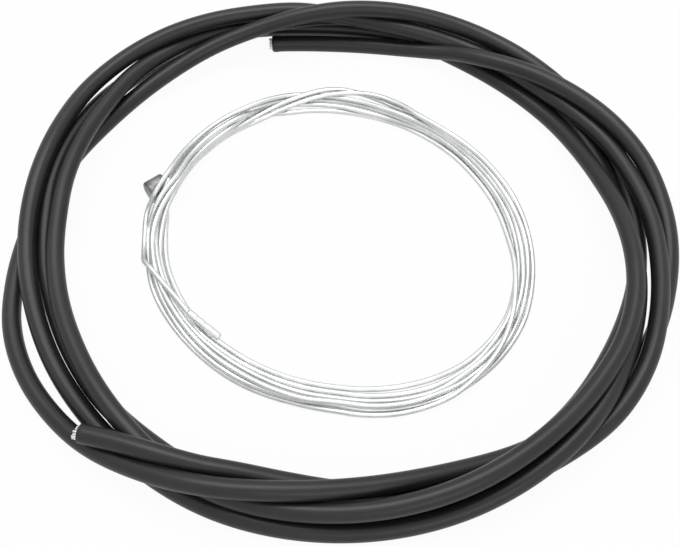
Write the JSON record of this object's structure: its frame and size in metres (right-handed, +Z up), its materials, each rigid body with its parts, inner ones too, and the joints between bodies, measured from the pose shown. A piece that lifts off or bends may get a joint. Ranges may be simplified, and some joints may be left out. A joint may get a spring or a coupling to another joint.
{
  "type": "bicycle brake cable",
  "caption": "Coil of black 5 mm brake cable outer housing with bare cut ends, and a coiled 1.5 mm steel inner cable with a barrel nipple and a crimped end cap inside it.",
  "frame": {"origin": "middle of the housing coil, on the surface that both coils lie on", "axes": "+Z up out of the coils, which lie flat in XY; the housing's visible cut end on top of its coil is at -X -Y, the cable's barrel nipple at -X +Y"},
  "size_m": [0.184, 0.184, 0.0109],
  "materials": {
    "sheath": "matte black PVC with a faint sheen",
    "strand_steel": "bright cut steel wire ends",
    "liner": "pale plastic liner",
    "wire_steel": "bright galvanised stranded steel",
    "nipple_metal": "dull grey cast zinc alloy",
    "cap_metal": "bright plain aluminium, crimped"
  },
  "bodies": {
    "root": {"housing_coil": "sheath", "outer_end_sheath": "sheath", "outer_end_strands": "strand_steel", "outer_end_liner": "liner", "inner_end_sheath": "sheath", "inner_end_strands": "strand_steel", "inner_end_liner": "liner", "cable_coil": "wire_steel", "cable_head": "wire_steel", "cable_tail": "wire_steel", "barrel_nipple": "nipple_metal", "end_cap": "cap_metal"}
  },
  "joints": []
}
